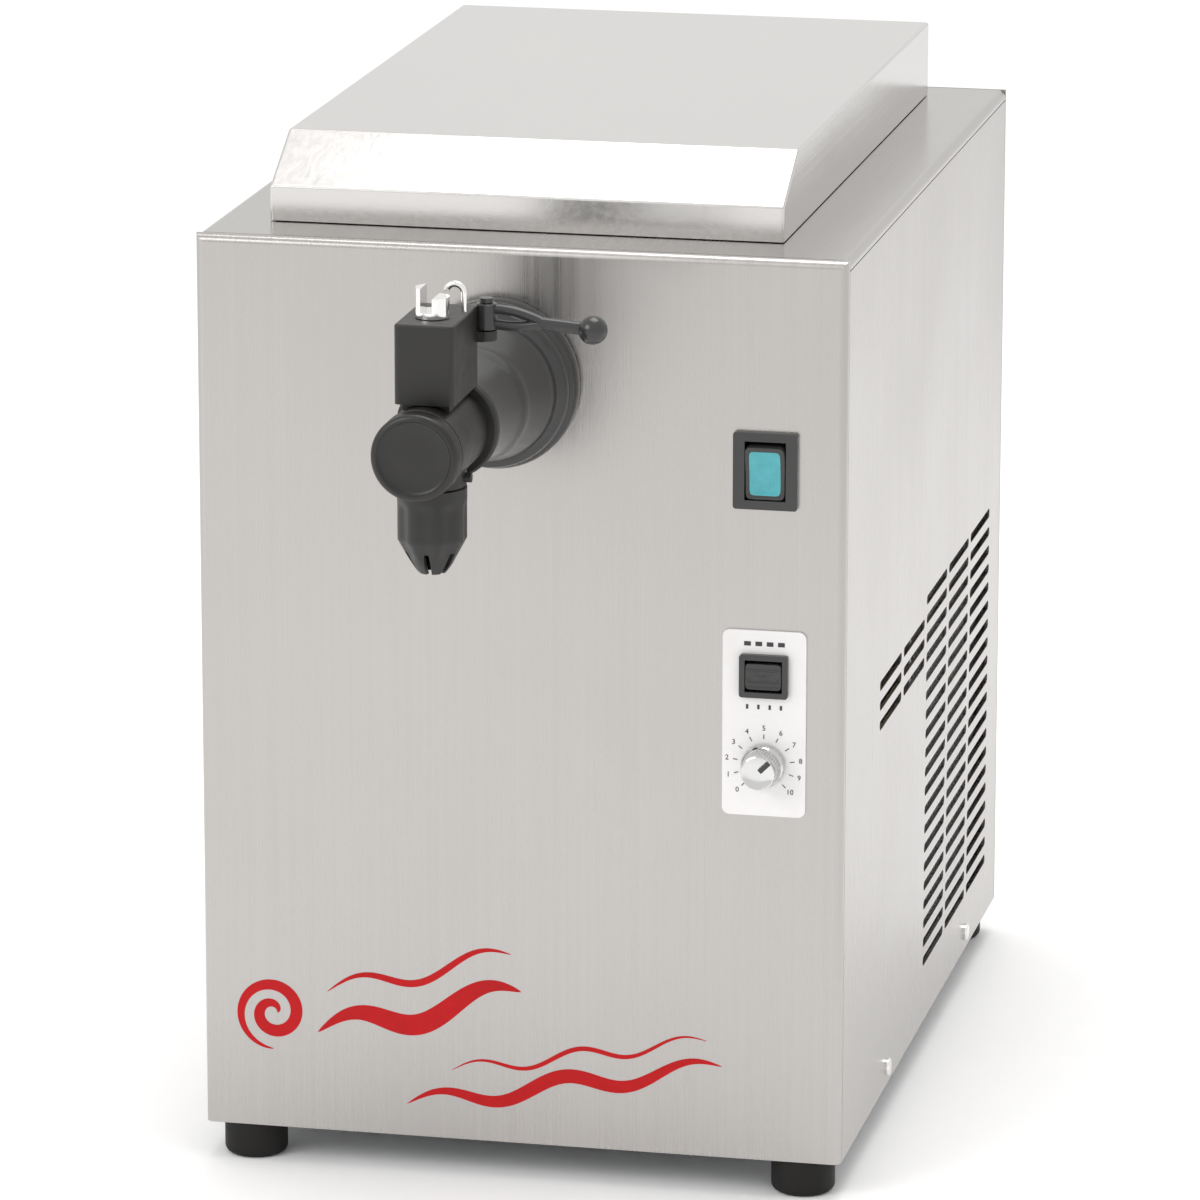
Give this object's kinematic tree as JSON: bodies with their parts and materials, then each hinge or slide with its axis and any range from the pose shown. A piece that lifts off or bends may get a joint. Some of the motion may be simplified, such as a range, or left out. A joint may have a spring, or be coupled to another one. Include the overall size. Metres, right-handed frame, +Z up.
{
  "type": "soft serve machine",
  "caption": "Counter-top soft serve and whipped cream machine: steel cabinet with chilled well, lift-off lid, front tap with star nozzle, side vents and switches.",
  "frame": {"origin": "on the floor under the middle of the overall box", "axes": "+Z up, the front panel and tap face -Y, +X to the viewer's right"},
  "size_m": [0.2586, 0.513, 0.404],
  "materials": {
    "stainless": "brushed",
    "stainless_bright": "satin",
    "tray_steel": "satin",
    "black_plastic": "satin",
    "black_gloss": "gloss",
    "rubber": "matte",
    "chrome": "polished",
    "teal_lens": "gloss",
    "white_plate": "satin",
    "foam": "matte",
    "copper": "satin",
    "aluminium": "satin",
    "pump_plastic": "satin",
    "compressor_black": "gloss",
    "board_green": "satin",
    "screw_steel": "satin"
  },
  "bodies": {
    "cabinet": {"base_tray": "tray_steel", "feet": "rubber", "foot_bolts": "screw_steel", "front_panel": "stainless", "side_panel_left": "stainless", "side_panel_right": "stainless", "rear_panel": "stainless", "top_plate": "stainless", "panel_screws": "screw_steel", "well_liner": "stainless_bright", "well_foam": "foam", "evaporator_coil": "copper", "cream_tank": "stainless_bright", "main_switch_bezel": "black_gloss", "mode_switch_bezel": "black_gloss", "control_plate": "white_plate", "dial_regulator": "black_plastic", "tap_collar": "black_gloss", "tap_body": "black_plastic", "tap_block": "black_plastic", "micro_switch": "black_gloss", "retaining_clip": "chrome", "lever_pin": "black_gloss", "pump_housing": "pump_plastic", "pump_cover": "pump_plastic", "pump_studs": "screw_steel", "shaft_seal": "rubber", "motor_bracket": "tray_steel", "drive_motor": "compressor_black", "whipping_tube": "stainless_bright", "mixing_insert": "pump_plastic", "delivery_elbow": "stainless_bright", "suction_tube": "stainless_bright", "air_valve": "pump_plastic", "condenser": "aluminium", "fan_shroud": "black_plastic", "fan_motor": "compressor_black", "compressor": "compressor_black", "compressor_grommets": "rubber", "filter_drier": "copper", "refrigerant_lines": "copper", "control_board": "board_green", "transformer": "tray_steel", "mains_inlet": "black_plastic"},
    "lid": {"lid": "stainless_bright", "lid_gasket": "rubber"},
    "tap_cap": {"tap_cap": "black_plastic"},
    "nozzle": {"star_nozzle": "black_plastic"},
    "regulator": {"regulator_spindle": "stainless_bright"},
    "lever": {"lever": "black_gloss"},
    "main_rocker": {"main_rocker": "teal_lens"},
    "mode_rocker": {"mode_rocker": "black_gloss"},
    "dial": {"dial_knob": "chrome", "dial_pointer": "black_gloss", "dial_shaft": "screw_steel"},
    "pump_drive": {"drive_shaft": "screw_steel", "drive_gear": "pump_plastic"},
    "pump_idler": {"idler_gear": "pump_plastic"},
    "air_knob": {"air_valve_knob": "black_plastic"},
    "fan": {"fan_blades": "black_plastic"}
  },
  "joints": [
    {"name": "lid_lift", "type": "slide", "parent": "cabinet", "child": "lid", "axis": [0, 0, 1], "range_m": [0, 0.12]},
    {"name": "lever_swing", "type": "hinge", "parent": "cabinet", "child": "lever", "pos_m": [0.0054, -0.1981, 0.3579], "axis": [0, 0, 1], "range_deg": [0, 25], "stiffness_Nm_per_rad": 0.01},
    {"name": "regulator_turn", "type": "hinge", "parent": "cabinet", "child": "regulator", "pos_m": [-0.0085, -0.2255, 0.3674], "axis": [0, 0, 1], "range_deg": [-90, 90]},
    {"name": "cap_turn", "type": "hinge", "parent": "cabinet", "child": "tap_cap", "pos_m": [-0.0085, -0.2565, 0.321], "axis": [0, -1, 0], "range_deg": [0, 90]},
    {"name": "nozzle_turn", "type": "hinge", "parent": "cabinet", "child": "nozzle", "pos_m": [-0.0085, -0.2275, 0.3047], "axis": [0, 0, -1], "range_deg": [0, 90]},
    {"name": "main_rocker_tilt", "type": "hinge", "parent": "cabinet", "child": "main_rocker", "pos_m": [0.0965, -0.1175, 0.291], "axis": [-1, 0, 0], "range_deg": [0, 12]},
    {"name": "mode_rocker_tilt", "type": "hinge", "parent": "cabinet", "child": "mode_rocker", "pos_m": [0.0965, -0.1175, 0.2105], "axis": [-1, 0, 0], "range_deg": [-6, 6]},
    {"name": "dial_turn", "type": "hinge", "parent": "cabinet", "child": "dial", "pos_m": [0.0965, -0.1215, 0.175], "axis": [0, -1, 0], "range_deg": [-90, 180]},
    {"name": "pump_drive_spin", "type": "hinge", "parent": "cabinet", "child": "pump_drive", "pos_m": [0.0035, -0.0455, 0.2106], "axis": [0, 0, 1], "continuous": true},
    {"name": "pump_idler_spin", "type": "hinge", "parent": "cabinet", "child": "pump_idler", "pos_m": [-0.0205, -0.0455, 0.2106], "axis": [0, 0, 1], "continuous": true},
    {"name": "air_knob_turn", "type": "hinge", "parent": "cabinet", "child": "air_knob", "pos_m": [-0.0085, -0.0079, 0.385], "axis": [0, 0, 1], "range_deg": [0, 270]},
    {"name": "fan_spin", "type": "hinge", "parent": "cabinet", "child": "fan", "pos_m": [0.086, 0.1465, 0.10485], "axis": [1, 0, 0], "continuous": true}
  ],
  "couplings": [
    {"joint": "pump_idler_spin", "follows": "pump_drive_spin", "ratio": -1}
  ]
}
